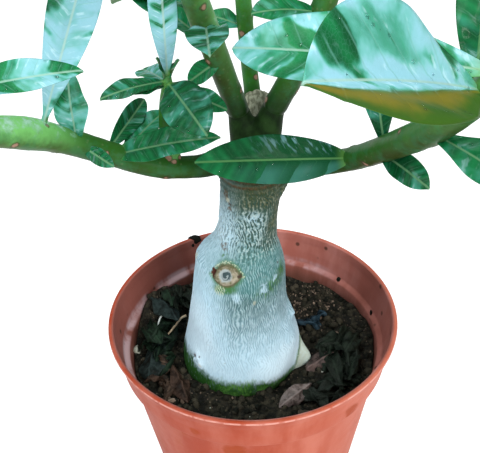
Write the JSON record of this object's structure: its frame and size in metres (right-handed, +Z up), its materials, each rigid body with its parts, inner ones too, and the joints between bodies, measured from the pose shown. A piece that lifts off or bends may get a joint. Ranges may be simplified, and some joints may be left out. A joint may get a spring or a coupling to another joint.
{
  "type": "potted desert rose",
  "caption": "Desert rose (adenium) with a swollen pale trunk and leafy forked stems, standing in potting mix in a round terracotta-coloured plastic nursery pot.",
  "frame": {"origin": "centre of the pot's flat underside", "axes": "+Z up along the pot's axis, -Y towards the viewer's side, +X to the viewer's right"},
  "size_m": [0.2558, 0.2092, 0.3436],
  "materials": {
    "pot_plastic": "satin moulded polypropylene, salmon terracotta",
    "potting_mix": "moist dark peat and bark crumb",
    "trunk_skin": "pale waxy skin with fine upright wrinkles",
    "leafy_stem": "glossy wet leaf green",
    "dry_leaf": "dead curled leaf, matt"
  },
  "bodies": {
    "root": {"pot": "pot_plastic", "soil": "potting_mix", "trunk": "trunk_skin", "branch_left": "leafy_stem", "branch_left_shoot": "leafy_stem", "branch_right": "leafy_stem", "branch_up_left": "leafy_stem", "branch_up_right": "leafy_stem", "branch_back": "leafy_stem", "dry_leaf_1": "dry_leaf", "dry_leaf_2": "dry_leaf", "dry_leaf_3": "dry_leaf", "dry_leaf_4": "dry_leaf", "dry_leaf_5": "dry_leaf", "dry_leaf_6": "dry_leaf"}
  },
  "joints": []
}
